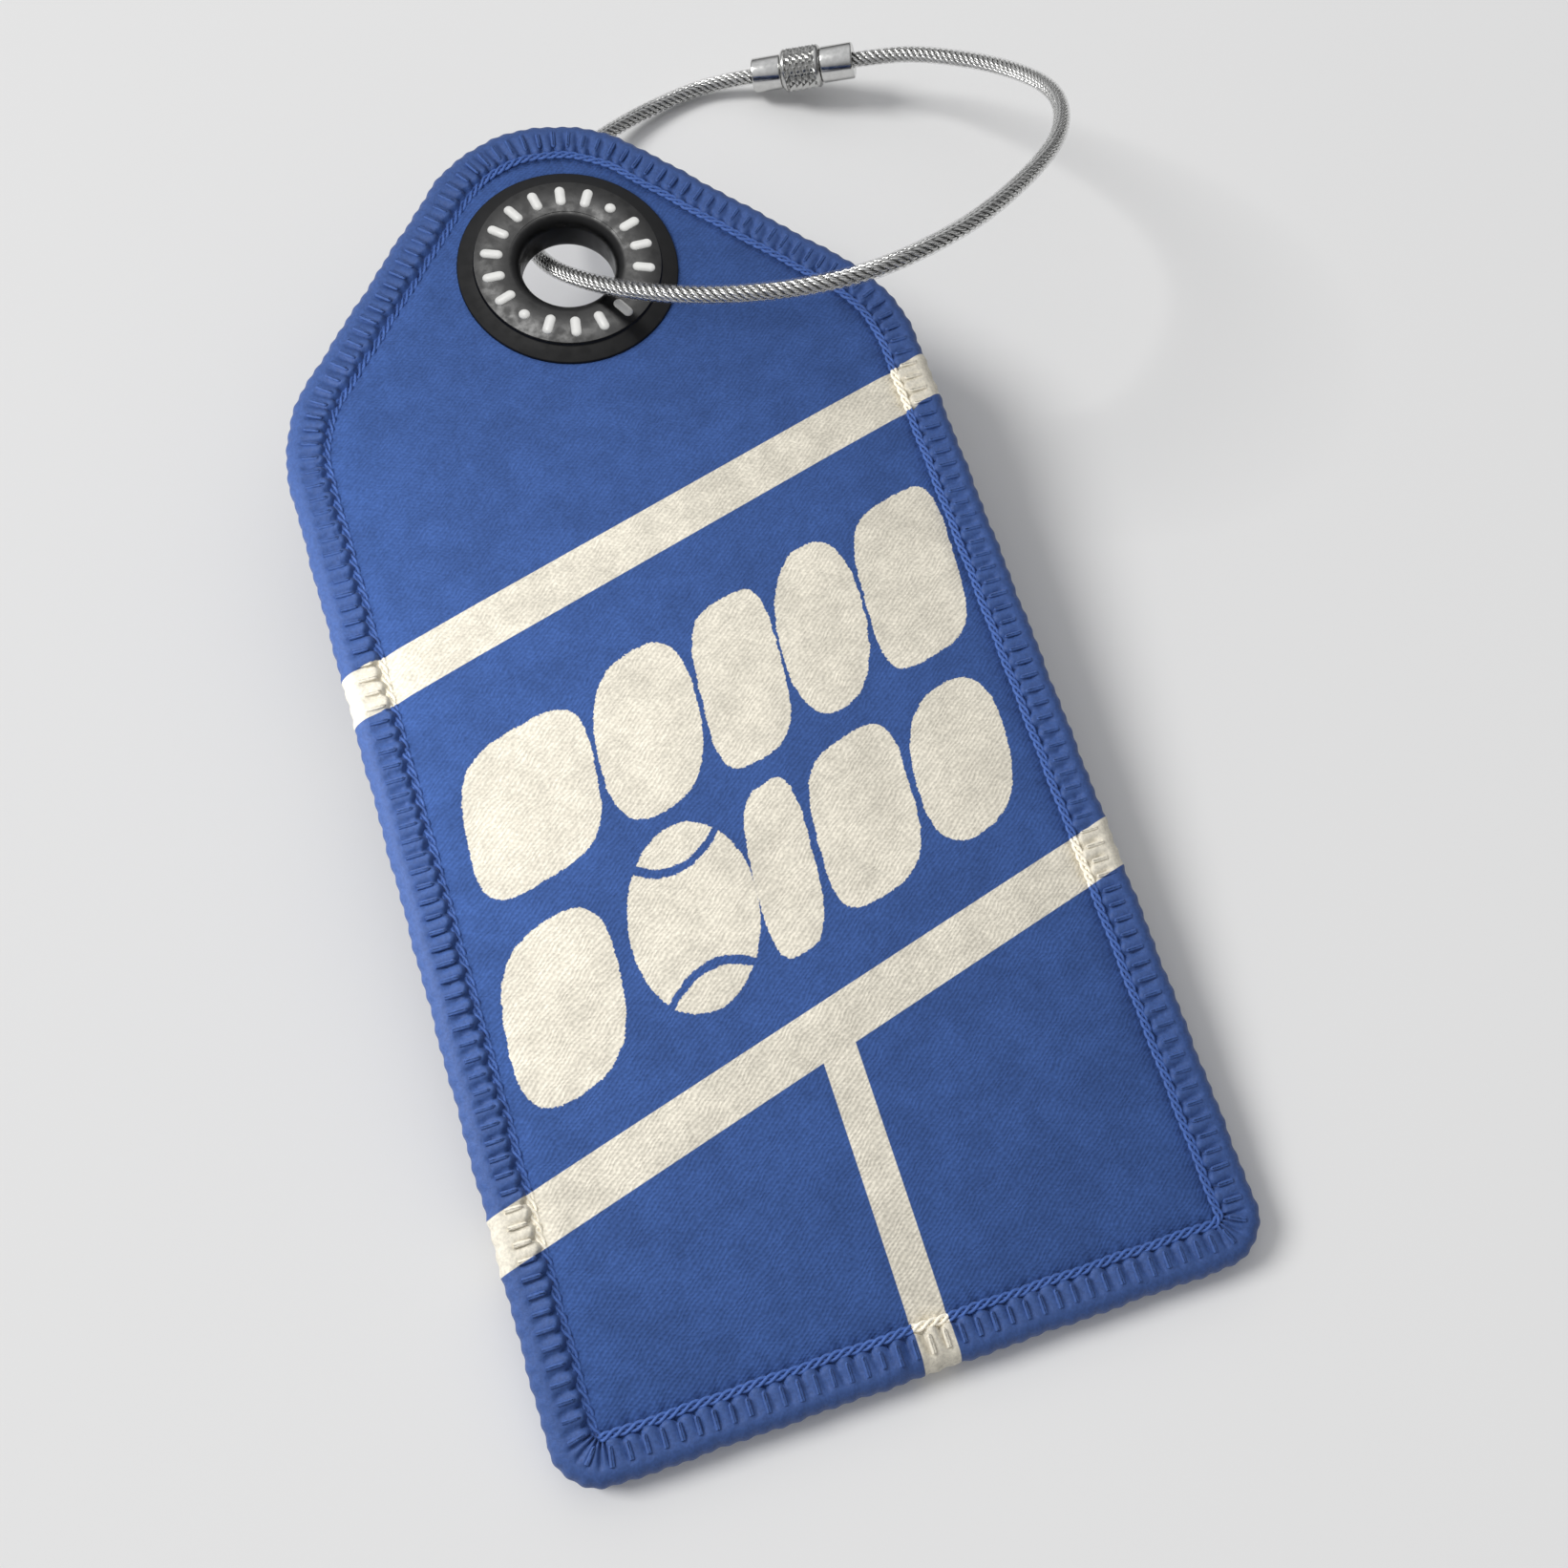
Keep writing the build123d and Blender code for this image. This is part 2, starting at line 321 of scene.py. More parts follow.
def tagCoordinates(tree):
    # the tag's own millimetres, read from object coordinates
    shift = Euler((-lean, 0, 0)).to_matrix() @ (-tagOrigin) / mm
    inputs = {"Vector": objectPlace(tree), "Location": shift, "Rotation": (-lean, 0, 0),
              "Scale": (1 / mm,) * 3}
    return addNode(tree, "ShaderNodeMapping", inputs, vector_type="POINT").outputs[0]


def makePebbleGroup():
    # one rounded pebble as a mask, from its place and half sizes
    inputs = {label: "Float" for label in ("X", "Y", *pebbleLabels)}
    tree, start, end = newTree("pebble", "ShaderNodeTree", inputs, ("Mask", "Float"))
    sides = []
    for place, middle, half in (("X", "Middle X", "Half width"), ("Y", "Middle Y", "Half height")):
        share = over(tree, apart(tree, start[place], start[middle]), start[half])
        sides.append(calc(tree, "POWER", share, start["Squareness"]))
    reach = calc(tree, "POWER", plus(tree, *sides), over(tree, 1.0, start["Squareness"]))
    tree.links.new(ramp(tree, reach, inkEdge["outside"], inkEdge["inside"]), end)
    return tree


def makePrintGroup():
    # the printed pattern: two slanted stripes, a centre line, rows of pebbles and a ball
    tree, start, end = newTree("print", "ShaderNodeTree", {"Vector": "Vector"}, ("Mask", "Float"))
    place = start[0]

    def shifted(scale, detail, amount):
        waves = vectorCalc(tree, "SUBTRACT", noise(tree, place, scale, detail)["Color"], (0.5, 0.5, 0.5))
        return vectorCalc(tree, "SCALE", waves, amount)

    def band(offset, half):
        soft = stripes["soft"]
        return ramp(tree, calc(tree, "ABSOLUTE", offset), half + soft, half - soft)

    moved = vectorCalc(tree, "ADD", place, shifted(inkEdge["broadScale"], 2.0, inkEdge["broad"]))
    moved = vectorCalc(tree, "ADD", moved, shifted(inkEdge["fineScale"], 1.0, inkEdge["fine"]))
    x, y = addNode(tree, "ShaderNodeSeparateXYZ", {0: place}).outputs[:2]
    looseX, looseY = addNode(tree, "ShaderNodeSeparateXYZ", {0: moved}).outputs[:2]
    upper = minus(tree, minus(tree, y, stripes["upperMid"]), times(tree, x, stripes["upperSlope"]))
    lower = minus(tree, minus(tree, y, stripes["lowerMid"]), times(tree, x, stripes["lowerSlope"]))
    line = times(tree, band(minus(tree, x, stripes["lineMid"]), stripes["lineHalf"]),
                 ramp(tree, lower, stripes["soft"], -stripes["soft"]))
    masks = [band(upper, stripes["half"]), band(lower, stripes["half"]), line]
    up = minus(tree, looseY, times(tree, looseX, rows["slope"]))
    across = minus(tree, looseX, times(tree, minus(tree, looseY, rows["middle"]), rows["lean"]))
    pebbleGroup = makePebbleGroup()
    for pebble in pebbles:
        inputs = {"X": across, "Y": up, **dict(zip(pebbleLabels, pebble))}
        masks.append(addNode(tree, "ShaderNodeGroup", inputs, node_tree=pebbleGroup).outputs[0])
    # the ball: a turned oval with two curved seams
    turn = math.radians(ball["turn"])
    dx, dy = minus(tree, looseX, ball["x"]), minus(tree, looseY, ball["y"])
    bx = minus(tree, times(tree, dx, math.cos(turn)), times(tree, dy, math.sin(turn)))
    by = plus(tree, times(tree, dx, math.sin(turn)), times(tree, dy, math.cos(turn)))
    bx, by = over(tree, bx, ball["halfWidth"]), over(tree, by, ball["halfHeight"])
    oval = ramp(tree, hypot(tree, bx, by), inkEdge["outside"], inkEdge["inside"])
    for side in (1, -1):
        # each seam is an arc round a point outside the ball
        sx, sy = minus(tree, bx, -ball["seamAcross"] * side), minus(tree, by, ball["seamUp"] * side)
        fromSeam = apart(tree, hypot(tree, sx, sy), ball["seamRadius"])
        oval = times(tree, oval, ramp(tree, fromSeam, ball["seamHalf"], ball["seamFade"]))
    masks.append(oval)
    total = masks[0]
    for mask in masks[1:]:
        total = calc(tree, "MAXIMUM", total, mask)
    tree.links.new(total, end)
    return tree


printGroup = makePrintGroup()


def newMaterial(name):
    material = bpy.data.materials.new(name)
    material.use_nodes = True
    return material, material.node_tree, material.node_tree.nodes["Principled BSDF"]


def printColor(tree, place):
    mask = addNode(tree, "ShaderNodeGroup", {"Vector": place}, node_tree=printGroup).outputs[0]
    return mixColor(tree, mask, inks["blue"], inks["cream"])


def bumped(tree, height, distance):
    inputs = {"Height": height, "Distance": distance, "Strength": 1.0}
    return addNode(tree, "ShaderNodeBump", inputs).outputs[0]


cloth = {"cloudScale": 0.28, "cloudy": 0.11, "grainScale": 2.6, "grain": 0.11,
         "ribAngle": 36.0, "crossAngle": -21.0, "ribPitch": 0.40, "crossPitch": 0.36, "crossShare": 0.6,
         "ribBend": 0.8, "ribPaintedShade": 0.10, "ribHeight": 0.011, "fuzz": 0.05}
clothFinish = {"Roughness": 0.86, "Specular IOR Level": 0.18, "Sheen Weight": 0.08, "Sheen Roughness": 0.5}


def clothMaterial(name, printed):
    # dyed or printed woven cloth: cloudy colour, fine ribs with painted shade in their grooves and painted
    # light on their ridges, and a little fuzz
    material, tree, shader = newMaterial(name)
    place = tagCoordinates(tree)
    color = printColor(tree, place) if printed else inks["blue"]
    cloud = noise(tree, place, cloth["cloudScale"], 5.0, 0.62)["Fac"]
    grain = noise(tree, place, cloth["grainScale"], 3.0)["Fac"]
    tone = times(tree, ramp(tree, cloud, 0.3, 0.7, 1 - cloth["cloudy"], 1 + cloth["cloudy"]),
                 ramp(tree, grain, 0.3, 0.7, 1 - cloth["grain"], 1 + cloth["grain"]))
    # ribs of the weave, two slanted families
    x, y = addNode(tree, "ShaderNodeSeparateXYZ", {0: place}).outputs[:2]
    bend = times(tree, noise(tree, place, 0.5, 1.0)["Fac"], cloth["ribBend"])
    ribs = []
    for angle, pitch in ((cloth["ribAngle"], cloth["ribPitch"]), (cloth["crossAngle"], cloth["crossPitch"])):
        turn = math.radians(angle)
        run = plus(tree, times(tree, x, -math.sin(turn)), times(tree, y, math.cos(turn)))
        ribs.append(calc(tree, "SINE", times(tree, plus(tree, run, bend), 2 * math.pi / pitch)))
    weave = plus(tree, ribs[0], times(tree, ribs[1], cloth["crossShare"]))
    # painted shade and light: the colour darkens in the grooves between the ribs and lightens on their
    # ridges, following the bump's height
    ribPaintedShade = ramp(tree, weave, -1.6, 1.6, 1 - cloth["ribPaintedShade"], 1 + cloth["ribPaintedShade"] * 0.7)
    height = plus(tree, times(tree, weave, cloth["ribHeight"]), times(tree, grain, cloth["fuzz"]))
    fill(tree, shader, {"Base Color": toned(tree, color, times(tree, tone, ribPaintedShade)),
                        "Normal": bumped(tree, height, mm), **clothFinish})
    return material


frontCloth = clothMaterial("printedCloth", True)
backCloth = clothMaterial("plainCloth", False)

fibres = {"scale": 3.2, "darkest": 0.85, "lightest": 1.12, "bump": 0.06 * mm}
threadFinish = {"Roughness": 0.62, "Specular IOR Level": 0.4, "Sheen Weight": 0.12, "Sheen Roughness": 0.4}


def threadMaterial(name, lighter):
    # shiny polyester thread, in the print's colours where the ink ran over it
    material, tree, shader = newMaterial(name)
    place = tagCoordinates(tree)
    fibre = noise(tree, place, fibres["scale"], 4.0, 0.6)["Fac"]
    tone = ramp(tree, fibre, 0.3, 0.7, fibres["darkest"] * lighter, fibres["lightest"] * lighter)
    fill(tree, shader, {"Base Color": toned(tree, printColor(tree, place), tone),
                        "Normal": bumped(tree, fibre, fibres["bump"]), **threadFinish})
    return material


borderThread = threadMaterial("borderThread", 1.0)
loopThread = threadMaterial("loopThread", 1.15)
chainThread = threadMaterial("chainThread", 1.5)


def simpleMaterial(name, color, roughness, metallic=0.0, grainScale=900.0, vary=0.06, bump=0.0, specular=0.5,
                   hollowShade=None):
    # one finish with small changes of roughness and tone, and painted shade in hollows if asked
    material, tree, shader = newMaterial(name)
    grain = noise(tree, objectPlace(tree), grainScale, 4.0)["Fac"]
    tone = ramp(tree, grain, 0.3, 0.7, 1 - vary, 1 + vary)
    # painted shade: the colour darkens where the stored distance is small, in the hollows where shade falls
    if hollowShade:
        reach = addNode(tree, "ShaderNodeAttribute", attribute_name=hollowShade["attribute"]).outputs["Fac"]
        shade = ramp(tree, reach, hollowShade["deep"], hollowShade["shallow"], hollowShade["darkest"], 1.0)
        tone = times(tree, tone, shade)
    fill(tree, shader, {"Base Color": toned(tree, color, tone),
                        "Roughness": ramp(tree, grain, 0.3, 0.7, roughness * 0.8, roughness * 1.25),
                        "Metallic": metallic, "Specular IOR Level": specular})
    if bump:
        fill(tree, shader, {"Normal": bumped(tree, grain, bump)})
    return material


eyeletBlack = simpleMaterial("eyeletBlack", (0.0045, 0.0045, 0.005, 1), 0.36, vary=0.1, bump=0.012 * mm,
                             specular=0.32)
markWhite = simpleMaterial("markWhite", (0.80, 0.80, 0.78, 1), 0.42, vary=0.05)
coreFelt = simpleMaterial("coreFelt", (0.72, 0.72, 0.70, 1), 0.9, vary=0.12, bump=0.1 * mm)
claspSteel = simpleMaterial("claspSteel", (0.63, 0.63, 0.62, 1), 0.16, metallic=1.0, grainScale=1500.0)
nutSteel = simpleMaterial("nutSteel", (0.55, 0.55, 0.54, 1), 0.22, metallic=1.0, grainScale=1500.0)
# painted shade in the rope's hollows between strands: where it starts, where it ends and how dark it gets
ropeHollowShade = {"attribute": "reach", "deep": 0.47 * mm, "shallow": 0.70 * mm, "darkest": 0.10}
ropeSteel = simpleMaterial("ropeSteel", (0.66, 0.66, 0.65, 1), 0.24, metallic=1.0, grainScale=2500.0,
                           vary=0.12, hollowShade=ropeHollowShade)


def coatingMaterial():
    # clear plastic: nearly unseen face on, greyer towards its sides
    material, tree, shader = newMaterial("clearCoating")
    facing = addNode(tree, "ShaderNodeLayerWeight", {"Blend": 0.35}).outputs["Facing"]
    haze = noise(tree, objectPlace(tree), 500.0, 3.0)["Fac"]
    fill(tree, shader, {"Alpha": ramp(tree, facing, 0.3, 0.98, 0.04, 0.34),
                        "Base Color": mixColor(tree, haze, (0.26, 0.26, 0.26, 1), (0.38, 0.38, 0.375, 1)),
                        "Roughness": ramp(tree, haze, 0.3, 0.7, 0.07, 0.16),
                        "Coat Weight": 0.5, "Coat Roughness": 0.08})
    return material


clearCoating = coatingMaterial()
print("materials made")

strandSpec = {"Strands": 6, "Lay radius": 0.60 * mm, "Lay length": 5.2 * mm,
              "Wires": 4, "Wire lay radius": 0.15 * mm, "Wire lay length": 3.6 * mm,
              "Wire radius": 0.155 * mm, "Wire sides": 5, "Step": 0.33 * mm, "Finish": ropeSteel}
coatingSpec = {"Radius": cable["diameter"] / 2 * 0.99, "Sides": 24, "Step": 0.6 * mm, "Finish": clearCoating}


def ropeTree(spec):
    # strands laid round the line they follow, each of a few wires laid the other way
    tree, inputs, end = geometryTree("ropeStrands", spec)
    line = evenCurve(tree, inputs, "Length", inputs["Step"])
    wanted = {"Geometry": line, "Amount": times(tree, inputs["Strands"], inputs["Wires"])}
    copies, index = addNode(tree, "GeometryNodeDuplicateElements", wanted, domain="SPLINE").outputs
    strandShare = over(tree, calc(tree, "FLOOR", over(tree, index, inputs["Wires"])), inputs["Strands"])
    wireShare = over(tree, calc(tree, "MODULO", index, inputs["Wires"]), inputs["Wires"])
    along = addNode(tree, "GeometryNodeSplineParameter").outputs["Length"]
    normal = geo(tree, "InputNormal")
    side = vectorCalc(tree, "CROSS_PRODUCT", geo(tree, "InputTangent"), normal)

    def around(share, length, direction, radius):
        angle = times(tree, plus(tree, share, times(tree, over(tree, along, length), direction)), 2 * math.pi)
        out = vectorCalc(tree, "ADD", vectorCalc(tree, "SCALE", normal, calc(tree, "COSINE", angle)),
                         vectorCalc(tree, "SCALE", side, calc(tree, "SINE", angle)))
        return vectorCalc(tree, "SCALE", out, radius)

    offset = vectorCalc(tree, "ADD", around(strandShare, inputs["Lay length"], 1.0, inputs["Lay radius"]),
                        around(wireShare, inputs["Wire lay length"], -1.0, inputs["Wire lay radius"]))
    # each wire keeps its distance from the middle, so that the colour can be darkened in the hollows between
    # strands as painted shade
    reach = vectorCalc(tree, "LENGTH", offset)
    stored = {"Geometry": copies, "Name": ropeHollowShade["attribute"], "Value": reach}
    marked = geo(tree, "StoreNamedAttribute", stored, data_type="FLOAT", domain="POINT")
    strands = geo(tree, "SetPosition", {"Geometry": marked, "Offset": offset})
    wires = tubeAlong(tree, strands, inputs["Wire radius"], inputs["Wire sides"])
    return finishTree(tree, wires, inputs, end)


def tubeTree(spec):
    # one round tube along the line
    tree, inputs, end = geometryTree("roundTube", spec)
    line = evenCurve(tree, inputs, "Length", inputs["Step"])
    return finishTree(tree, tubeAlong(tree, line, inputs["Radius"], inputs["Sides"]), inputs, end)


rope = grow(lineObject("ropeLine", cablePoints), "rope_strands", ropeTree, strandSpec)
coating = grow(lineObject("coatingLine", cablePoints), "cable_clear_coating", tubeTree, coatingSpec)
print("cable made:", len(rope.data.polygons), "strand faces")


def ringFaces(rings, count):
    # four-sided faces between closed rings, the last one joined to the first
    faces = []
    for r in range(rings):
        here, after = r * count, (r + 1) % rings * count
        for i in range(count):
            j = (i + 1) % count
            faces.append((here + i, here + j, after + j, after + i))
    return faces


def lathe(name, profile, origin, axis, segments, material, smoothAngle=30):
    # a closed ring of profile points (radius, along), in millimetres, turned about an axis
    first = axis.orthogonal().normalized()
    second = axis.cross(first)
    points = []
    for step in range(segments):
        angle = 2 * math.pi * step / segments
        out = first * math.cos(angle) + second * math.sin(angle)
        points += [origin + axis * (along * mm) + out * (radius * mm) for radius, along in profile]
    obj = meshPiece(name, points, ringFaces(segments, len(profile)), smoothAngle)
    paint(obj, material)
    return obj


def arc(cx, cy, radius, start, stop, count):
    steps = [math.radians(start + (stop - start) * i / count) for i in range(count + 1)]
    return [(cx + radius * math.cos(a), cy + radius * math.sin(a)) for a in steps]


# clasp parts, measured along the clasp from the outer end of the sleeve
sleeveProfile = ([(1.0, 0.06)] + arc(1.95, 0.22, 0.22, 200, 270, 2)[1:] + arc(1.95, 0.25, 0.25, -85, 0, 4)
                 + arc(1.95, 3.95, 0.25, 0, 90, 4)
                 + [(1.5, 4.2), (1.5, 5.9), (1.3, 6.1), (0.02, 6.1), (0.02, 2.5), (1.0, 2.5)])
collarProfile = (arc(1.85, 9.65, 0.25, -90, 0, 4) + arc(1.85, 12.95, 0.25, 0, 90, 4)
                 + [(1.25, 13.2), (1.25, 12.0), (1.65, 12.0), (1.65, 7.55), (1.9, 7.55), (2.05, 7.7),
                    (2.05, 7.9), (1.9, 8.05), (1.9, 9.4)])
nutProfile = [(1.55, 4.25), (2.2, 4.25), (2.32, 4.3), (2.56, 4.54), (2.6, 4.64), (2.6, 4.78), (2.32, 4.86),
              (2.32, 8.74), (2.6, 8.82), (2.6, 8.96), (2.56, 9.06), (2.32, 9.3), (2.2, 9.35), (1.95, 9.35),
              (1.95, 8.15), (2.15, 8.15), (2.15, 7.45), (1.95, 7.45), (1.95, 7.2), (1.55, 7.2)]
claspSegments = 56
sleeve = lathe("clasp_sleeve", sleeveProfile, claspStart, clasp["along"], claspSegments, claspSteel)
collar = lathe("clasp_collar_shell", collarProfile, claspStart, clasp["along"], claspSegments, claspSteel)
nutBody = lathe("clasp_nut_body", nutProfile, claspStart, clasp["along"], claspSegments, nutSteel)

knurlStart = 5.1 * mm
knurlSpec = {"Around": 17, "Rows": 9, "Length": 3.4 * mm, "Drum radius": 2.30 * mm, "Size": 0.46 * mm,
             "Height": 0.34 * mm, "Finish": nutSteel}


def knurlTree(spec):
    # staggered rows of four-sided points on a drum along +Z
    tree, inputs, end = geometryTree("knurl", spec)
    line = geo(tree, "MeshLine", {"Count": times(tree, inputs["Around"], inputs["Rows"])}, mode="OFFSET")
    index = geo(tree, "InputIndex")
    row = calc(tree, "FLOOR", over(tree, index, inputs["Around"]))
    column = calc(tree, "MODULO", index, inputs["Around"])
    stagger = times(tree, calc(tree, "MODULO", row, 2.0), 0.5)
    angle = times(tree, over(tree, plus(tree, column, stagger), inputs["Around"]), 2 * math.pi)
    rise = times(tree, over(tree, row, minus(tree, inputs["Rows"], 1.0)), inputs["Length"])
    out = vectorOf(tree, calc(tree, "COSINE", angle), calc(tree, "SINE", angle))
    place = vectorCalc(tree, "ADD", vectorCalc(tree, "SCALE", out, inputs["Drum radius"]),
                       vectorOf(tree, 0.0, 0.0, rise))
    spots = geo(tree, "SetPosition", {"Geometry": line, "Position": place})
    cone = geo(tree, "MeshCone", {"Vertices": 4, "Radius Top": 0.0, "Radius Bottom": inputs["Size"],
                                  "Depth": inputs["Height"]})
    # turned so that its point faces out and its corners face along and across the drum
    face = turnTo(tree, (0, 0, 1), "X", "Z", turnTo(tree, out, "Z"))
    many = geo(tree, "InstanceOnPoints", {"Points": spots, "Instance": cone, "Rotation": face})
    return finishTree(tree, many, inputs, end, smooth=False)


knurlPoints = grow(lineObject("knurlSeed", [(0, 0, 0)]), "clasp_nut_knurl", knurlTree, knurlSpec)
# stand the drum along the clasp
knurlPlace = Matrix.Translation(claspStart + clasp["along"] * knurlStart)
knurlPoints.data.transform(knurlPlace @ clasp["along"].to_track_quat("Z", "X").to_matrix().to_4x4())
print("clasp made")


def outlineWalk(spacing):
    # points, outward directions and distances along the rounded outline, anticlockwise from the bottom left
    half, foot, shoulder = tag["width"] / 2, tag["footRadius"], tag["shoulderRadius"]
    corners = [((-half, 0), foot), ((half, 0), foot), ((half, tag["shoulder"]), shoulder),
               ((0, tag["peak"]), tag["tipRadius"]), ((-half, tag["shoulder"]), shoulder)]
    pieces = []
    for index, (corner, radius) in enumerate(corners):
        here = np.array(corner)
        back = np.array(corners[index - 1][0]) - here
        ahead = np.array(corners[(index + 1) % len(corners)][0]) - here
        back /= np.linalg.norm(back)
        ahead /= np.linalg.norm(ahead)
        halfAngle = math.acos(back @ ahead) / 2
        toCentre = (back + ahead) / np.linalg.norm(back + ahead)
        centre = here + toCentre * radius / math.sin(halfAngle)
        tangentLength = radius / math.tan(halfAngle)
        pieces.append((centre, radius, here + back * tangentLength, here + ahead * tangentLength))
    points, outs = [], []
    for index, (centre, radius, start, stop) in enumerate(pieces):
        a0 = math.atan2(*(start - centre)[::-1])
        a1 = math.atan2(*(stop - centre)[::-1])
        sweep = (a1 - a0) % (2 * math.pi)
        count = max(4, round(sweep * radius / spacing))
        for i in range(count):
            a = a0 + sweep * i / count
            out = np.array((math.cos(a), math.sin(a)))
            points.append(centre + out * radius)
            outs.append(out)
        goal = pieces[(index + 1) % len(pieces)][2]
        run = goal - stop
        length = np.linalg.norm(run)
        side = np.array((run[1], -run[0])) / length
        count = max(1, round(length / spacing))
        for i in range(count):
            points.append(stop + run * i / count)
            outs.append(side)
    points, outs = np.array(points), np.array(outs)
    steps = np.linalg.norm(np.roll(points, -1, axis=0) - points, axis=1)
    walked = np.concatenate(([0], np.cumsum(steps)[:-1]))
    return points, outs, walked, steps.sum()


def smoothStep(value, low, high):
    t = np.clip((value - low) / (high - low), 0, 1)
    return t * t * (3 - 2 * t)


stitch = {"count": 226, "seed": 7,
          "groove": 0.55, "ridgePower": 0.55, "scallop": 0.75, "wave": 0.07, "slant": 0.15,
          "overlapAt": -1.5, "overlapHalf": 4.2, "overlapRise": 0.42, "overlapBelow": 7,
          "fineSpacing": 0.24, "coarseSpacing": 0.3, "threadSpacing": 0.4}
randomTurns = np.random.RandomState(stitch["seed"])
stitchDepth = randomTurns.uniform(0.72, 1.15, stitch["count"] + 1)
stitchLength = randomTurns.uniform(-0.16, 0.16, stitch["count"] + 1)
fineWalk = outlineWalk(stitch["fineSpacing"])
coarseWalk = outlineWalk(stitch["coarseSpacing"])
around = fineWalk[3]


def stitchPhase(walked, inward):
    # stitch number and the place across it, 0 to 1
    phase = (walked + stitch["slant"] * (inward - tag["borderWidth"])) / around * stitch["count"] + 0.5
    return np.floor(phase).astype(int) % stitch["count"], phase - np.floor(phase)


def overlapBump(x, y):
    # where the end of the stitching runs over its start, on the bottom edge
    near = smoothStep(np.abs(x - stitch["overlapAt"]), stitch["overlapHalf"], stitch["overlapHalf"] * 0.35)
    return near * (y < stitch["overlapBelow"])


def makeBorder():
    points, outs, walked, _ = fineWalk
    half, rounding, width = tag["borderHalf"], tag["borderRound"], tag["borderWidth"]
    flank = half - rounding
    section = [(d, half) for d in np.linspace(width + 0.15, rounding, 17)]
    section += [(rounding - rounding * math.sin(a), flank + rounding * math.cos(a))
                for a in np.linspace(0, math.pi / 2, 9)[1:]]
    section += [(rounding - rounding * math.cos(a), -flank - rounding * math.sin(a))
                for a in np.linspace(0, math.pi / 2, 8)]
    section += [(d, -half) for d in np.linspace(rounding, width + 0.15, 11)[1:]]
    section += [(width - 0.3, -0.8), (width - 0.3, 0.8)]
    vertices = []
    for inward, height in section:
        number, part = stitchPhase(walked, inward)
        valley = 1 - np.abs(np.sin(np.pi * part)) ** stitch["ridgePower"]
        base = abs(height)
        z = base - stitch["groove"] * stitchDepth[number] * valley * smoothStep(inward, 1.2, 2.5)
        if height > 0:
            # the overlapped threads lie unevenly
            rise = stitch["overlapRise"] * (0.6 + 0.4 * np.sin(walked * 3.1)) * smoothStep(inward, 0.6, 2.0)
            z = z + overlapBump(points[:, 0], points[:, 1]) * rise
        if base > 1.0 and inward > 1.6:
            # each stitch ends at its own length, where the surface drops into the cloth
            end = width + 0.1 + stitchLength[number] - stitch["scallop"] * valley
            low = tag["clothTop"] - 0.35
            z = low + (z - low) * smoothStep(end - inward, -0.05, 0.55)
        push = 0.0
        if inward < width - 0.35:
            push = stitch["wave"] * np.cos(2 * np.pi * part) * (1 - smoothStep(inward, 0.3, 1.6))
            push = push + 0.05 * np.sin(walked * 0.61) + 0.04 * np.sin(walked * 1.37)
        flat = points + outs * np.broadcast_to(push - inward, len(points))[:, None]
        vertices.append(np.column_stack((flat, np.broadcast_to(math.copysign(1, height) * z, len(points)))))
    faces = ringFaces(len(section), len(points))
    obj = meshPiece("edge_border", toFrame(np.concatenate(vertices)), faces, 180)
    paint(obj, borderThread)
    return obj


border = makeBorder()
print("border made:", len(border.data.polygons), "faces")

# each cover is a mesh of rings near its hem, a few spacings apart, and a grid inside them
cover = {"hem": 3.3, "thickness": 0.42 * mm, "holeCount": 72, "gridInset": 5.4,
         "frontRings": [(3.9, 0.4), (4.2, 0.3), (4.45, 0.27), (4.7, 0.27), (4.9, 0.35)], "frontSpacing": 0.5,
         "backRings": [(4.4, 0.6), (4.9, 0.8)], "backSpacing": 0.8, "frontGrid": 0.9, "backGrid": 1.6,
         "frontCrown": 0.22, "backCrown": 0.05, "hemDrop": 0.28, "needlePull": 0.22, "needleAt": 4.62,
         "pucker": 0.05}


